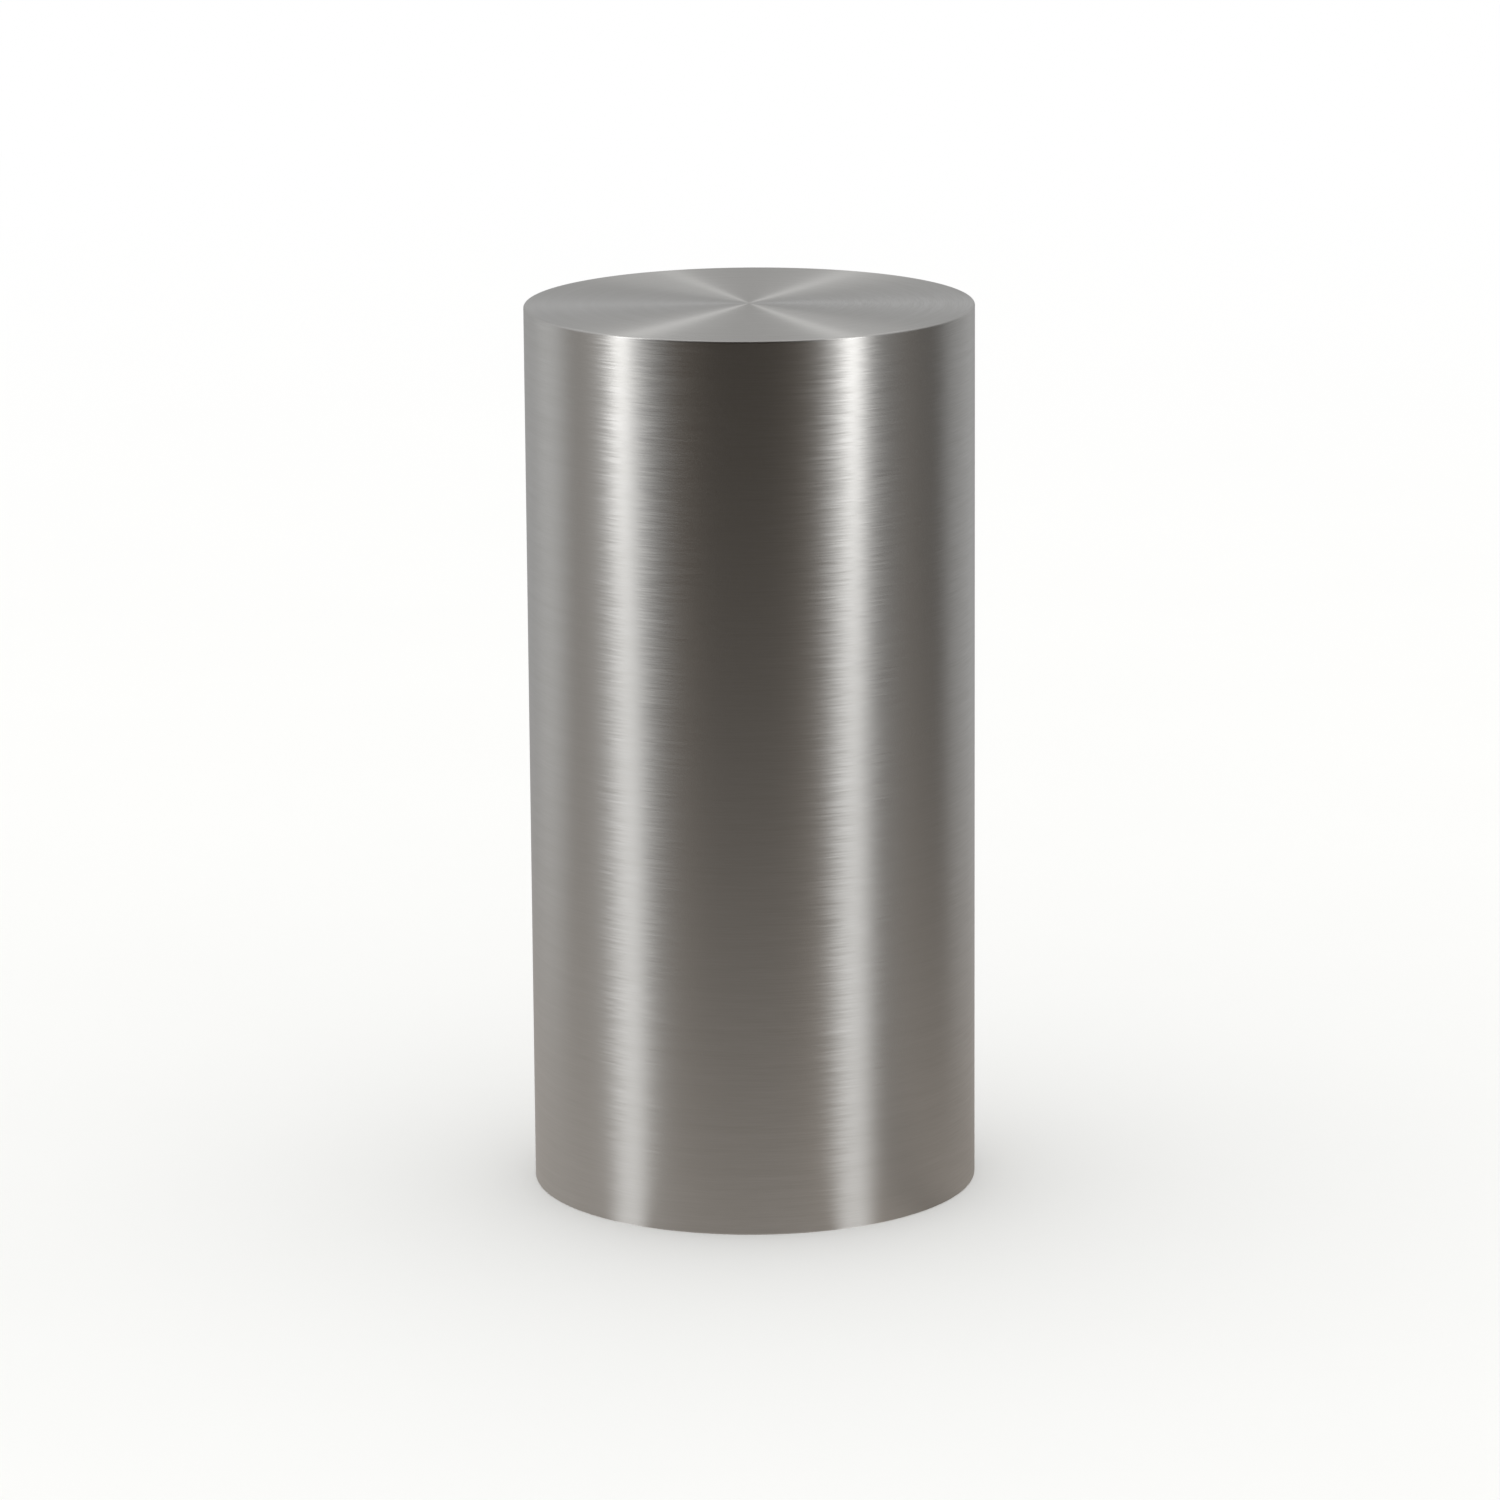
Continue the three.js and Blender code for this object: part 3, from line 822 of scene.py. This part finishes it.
# The two upright lamps, in metres, watts and degrees from the front. Each makes a band on the wall at
# one turn, and from there the shiny floor shows the lamp's glow in the direction glow.
LAMPS = [dict(side="left", azimuth=-63.7, width=0.15, watts=1.75, band=-34, glow=-68),
         dict(side="right", azimuth=49.4, width=0.115, watts=1.9, band=26, glow=53)]
LAMP_REACH, LAMP_BOTTOM, LAMP_TOP = 0.9, 0.45, 1.6
FLOOR_HALF = 15.0
SEEN_FLOOR_HALF = 12.0
ROOM_RADIUS = 8.0


def tone(level, warmth=0.0):
    """A grey of that brightness, turned towards a warm brown."""
    warm = Vector((1.0, 0.75, 0.52)) * level
    return (*Vector((level, level, level)).lerp(warm, warmth), 1)


def compass(tree, azimuth, stops):
    """A colour by the direction from the bollard in degrees: 0 is the front, 90 the right."""
    turn = node(tree, "MapRange", {0: azimuth, 1: -math.pi, 2: math.pi})
    places = [((degrees + 180) / 360, colour) for degrees, colour in stops]
    return node(tree, "ValToRGB", {0: turn}, stops=places)


def room_colour(tree, azimuth):
    """What stands round the bollard: a dark warm room in front, pale walls at the sides and behind."""
    return compass(tree, azimuth, [
        (-180, tone(0.60)), (-172, tone(0.52)), (-164, tone(0.42)), (-156, tone(0.46)), (-142, tone(0.46)),
        (-124, tone(0.68)), (-112, tone(0.58)), (-100, tone(0.26, 0.3)), (-88, tone(0.30, 0.3)),
        (-68, tone(0.42)), (-48, tone(0.16)), (-36, tone(0.08, 1)), (-18, tone(0.02, 1)),
        (14, tone(0.02, 1)), (34, tone(0.08, 1)), (52, tone(0.36)), (66, tone(0.18)), (84, tone(0.13, 0.5)),
        (108, tone(0.06, 0.5)), (122, tone(0.36)), (150, tone(0.50)), (164, tone(0.42)), (172, tone(0.52)),
        (180, tone(0.60))])


def glowing(name, data, shade):
    """A stage object that only reflections see. shade(tree, axes, azimuth) gives its colour."""
    made = stand_alone(name, data)
    material = bpy.data.materials.new(name)
    material.use_nodes = True
    tree = material.node_tree
    tree.nodes.clear()
    place = node(tree, "TexCoord").outputs["Object"]
    axes = node(tree, "SeparateXYZ", {0: place}).outputs
    front = node(tree, "Math", {0: axes[1], 1: -1.0}, operation="MULTIPLY")
    azimuth = node(tree, "Math", {0: axes[0], 1: front}, operation="ARCTAN2")
    glow = node(tree, "Emission", {"Color": shade(tree, axes, azimuth)})
    node(tree, "OutputMaterial", {"Surface": glow})
    material.cycles.emission_sampling = "NONE"
    data.materials.append(material)
    for sight in ("camera", "diffuse", "shadow", "transmission", "volume_scatter"):
        setattr(made, "visible_" + sight, False)


def sheet(name, half, height):
    """A level square, half its width each way from the bollard."""
    shape = bmesh.new()
    square = [(-half, -half), (half, -half), (half, half), (-half, half)]
    shape.faces.new([shape.verts.new((x, y, height)) for x, y in square])
    return mesh_of(name, shape)


def lamp_on_floor(tree, axes, lamp):
    """Where the shiny floor shows a lamp's glow: a soft wedge that leaves the bollard's foot as wide as
    the band the lamp makes on the wall."""
    foot, away = math.radians(lamp["band"]), math.radians(lamp["glow"])
    inside = RADIUS * math.cos(foot) / 2
    start_x = RADIUS * math.sin(foot) - inside * math.sin(away)
    start_y = inside * math.cos(away) - RADIUS * math.cos(foot)
    right = node(tree, "Math", {0: axes[0], 1: start_x}, operation="SUBTRACT")
    front = node(tree, "Math", {0: start_y, 1: axes[1]}, operation="SUBTRACT")
    bearing = node(tree, "Math", {0: right, 1: front}, operation="ARCTAN2")
    aside = node(tree, "Math", {0: bearing, 1: away}, operation="SUBTRACT")
    off = node(tree, "Math", {0: aside}, operation="ABSOLUTE")
    edge, full = math.radians(16), math.radians(2)
    return node(tree, "MapRange", {0: off, 1: edge, 2: full}, interpolation_type="SMOOTHSTEP")


def seen_floor(tree, axes, azimuth):
    """A pale floor near the bollard that fades into the room's own colours."""
    flat = node(tree, "CombineXYZ", {0: axes[0], 1: axes[1]})
    reach = node(tree, "VectorMath", {0: flat}, operation="LENGTH").outputs["Value"]
    far = node(tree, "MapRange", {0: reach, 1: 0.15, 2: 1.8}, interpolation_type="SMOOTHSTEP")
    near = compass(tree, azimuth, [
        (-180, tone(0.46, 0.3)), (-60, tone(0.46, 0.3)), (-10, tone(0.46, 0.3)), (10, tone(0.46, 0.3)),
        (34, tone(0.45, 0.4)), (54, tone(0.30, 0.4)), (74, tone(0.38, 0.4)), (100, tone(0.36, 0.4)),
        (180, tone(0.46, 0.3))])
    room = room_colour(tree, azimuth)
    floor = node(tree, "Mix", {0: far, 6: near, 7: room}, data_type="RGBA").outputs[2]
    # the lamps' glow is weaker at the foot and dies out in the distance
    rising = node(tree, "MapRange", {0: reach, 1: 0.15, 2: 0.7, 3: 0.5, 4: 1.0})
    dying = node(tree, "MapRange", {0: reach, 1: 2.0, 2: 3.2, 3: 1.0, 4: 0.0})
    here = node(tree, "Math", {0: rising, 1: dying}, operation="MULTIPLY")
    for lamp in LAMPS:
        wedge = lamp_on_floor(tree, axes, lamp)
        glow = node(tree, "Math", {0: here, 1: wedge}, operation="MULTIPLY")
        floor = node(tree, "Mix", {0: glow, 6: floor, 7: tone(1.65)}, data_type="RGBA").outputs[2]
    return floor


def seen_room(tree, axes, azimuth):
    """The room's walls, an upper part that stays dark in front, and a ceiling that is pale at the back."""
    walls = room_colour(tree, azimuth)
    upper = compass(tree, azimuth, [
        (-180, tone(0.49)), (-150, tone(0.52)), (-120, tone(0.64)), (-90, tone(0.62)), (-64, tone(0.52)),
        (-44, tone(0.025, 1)), (44, tone(0.025, 1)), (64, tone(0.46)), (120, tone(0.56)),
        (180, tone(0.49))])
    rise = node(tree, "MapRange", {0: axes[2], 1: 1.0, 2: 2.6}, interpolation_type="SMOOTHSTEP")
    high = node(tree, "MapRange", {0: axes[2], 1: 5.0, 2: 7.0}, interpolation_type="SMOOTHSTEP")
    back = node(tree, "MapRange", {0: axes[1], 1: -1.5, 2: 2.5}, interpolation_type="SMOOTHSTEP")
    ceiling = node(tree, "Math", {0: high, 1: back}, operation="MULTIPLY")
    sides = node(tree, "Mix", {0: rise, 6: walls, 7: upper}, data_type="RGBA").outputs[2]
    return node(tree, "Mix", {0: ceiling, 6: sides, 7: tone(1.0)}, data_type="RGBA").outputs[2]


def pale_floor():
    """A matt white floor, which a few metres out runs into the white background."""
    floor = stand_alone("pale_floor", sheet("pale_floor", FLOOR_HALF, 0.0))
    floor.visible_glossy = False
    paint, tree, shader, place = surface("matt_white_floor", Roughness=0.9)
    clouds = node(tree, "TexNoise", {"Vector": place, "Scale": pattern_scale(400), "Detail": 3.0})
    feed(tree, shader, node(tree, "ValToRGB", {0: clouds}, stops=tones("#f4f4f2", "#f5f5f3")))
    reach = node(tree, "VectorMath", {0: place}, operation="LENGTH").outputs["Value"]
    far = node(tree, "MapRange", {0: reach, 1: 0.8, 2: 5.0}, interpolation_type="SMOOTHSTEP")
    white = node(tree, "Emission", {"Color": (1, 1, 1, 1)})
    both = node(tree, "MixShader", {0: far, 1: shader, 2: white})
    tree.links.new(both.outputs[0], tree.nodes["Material Output"].inputs["Surface"])
    paint.cycles.emission_sampling = "NONE"
    floor.data.materials.append(paint)


def studio():
    scene = bpy.context.scene
    scene.view_settings.view_transform = "Standard"
    pale_floor()
    glowing("floor_in_reflections", sheet("floor_in_reflections", SEEN_FLOOR_HALF, -1 * MM), seen_floor)
    ball = bmesh.new()
    bmesh.ops.create_icosphere(ball, subdivisions=4, radius=ROOM_RADIUS)
    glowing("room_in_reflections", mesh_of("room_in_reflections", ball), seen_room)
    world = bpy.data.worlds.new("studio")
    scene.world = world
    world.use_nodes = True
    world.node_tree.nodes["Background"].inputs["Strength"].default_value = 1.12
    world.node_tree.nodes["Background"].inputs["Color"].default_value = (1, 1, 1, 1)
    world.cycles_visibility.glossy = False
    for lamp in LAMPS:
        upright_lamp(lamp)


def upright_lamp(lamp):
    """A tall soft box that shows only as its band on the metal."""
    azimuth = math.radians(lamp["azimuth"])
    away = Vector((math.sin(azimuth), -math.cos(azimuth), 0))
    light = bpy.data.lights.new(f"upright_lamp_{lamp['side']}", "AREA")
    light.shape = "RECTANGLE"
    light.size = lamp["width"]
    light.size_y = LAMP_TOP - LAMP_BOTTOM
    light.energy = lamp["watts"]
    made = stand_alone(light.name, light)
    made.location = away * LAMP_REACH + UP * (LAMP_BOTTOM + LAMP_TOP) / 2
    made.rotation_euler = away.to_track_quat("Z", "Y").to_euler()
    made.visible_camera = False
    made.visible_diffuse = False


def camera():
    """A long lens at eye height, 4.5 m in front, looking down 13 degrees."""
    made = stand_alone("camera", bpy.data.cameras.new("camera"))
    bpy.context.scene.camera = made
    made.data.lens = 164.6
    made.location = (0, -4.504, 1.3486)
    gaze = (Vector((-0.0015, 0, 0.2951)) - made.location).to_track_quat("-Z", "Y")
    lean = Matrix.Rotation(math.radians(-0.405), 3, "Z").to_quaternion()
    made.rotation_mode = "QUATERNION"
    made.rotation_quaternion = gaze @ lean


# ------------------------------------------------------------------ the bollard

camera()
studio()

wall_finish = brushed_stainless("brushed_stainless_wall", 0.37, 0.76)
disc_finish = brushed_stainless("brushed_stainless_disc", 0.355, 1.0)
mill, lathe, bead_finish = mill_stainless(), turned_stainless(), stainless_weld()
galvanised, zinc = galvanised_steel(), zinc_plated_steel()
rubber, nylon = epdm_rubber(), natural_nylon()

sleeve_wall(wall_finish, mill)
top_disc(disc_finish, wall_finish, mill)
piece("disc_weld", "sleeve", bead_finish,
      fillet(round_path(BORE, DISC_BOTTOM, -1, -1), 3.5 * MM, True))
socket(mill, bead_finish, nylon)
for side, turn in mirrored_sides():
    boss(side, turn, lathe, bead_finish)
    grub_screw(side, turn, lathe)

base(galvanised, rubber)
tube(galvanised)
tube_cap(galvanised, rubber, zinc)
clamp_band(galvanised)
for number, turn in enumerate(QUARTERS, 1):
    rib(number, turn, galvanised)
    foot_spacer(number, turn, nylon, zinc)
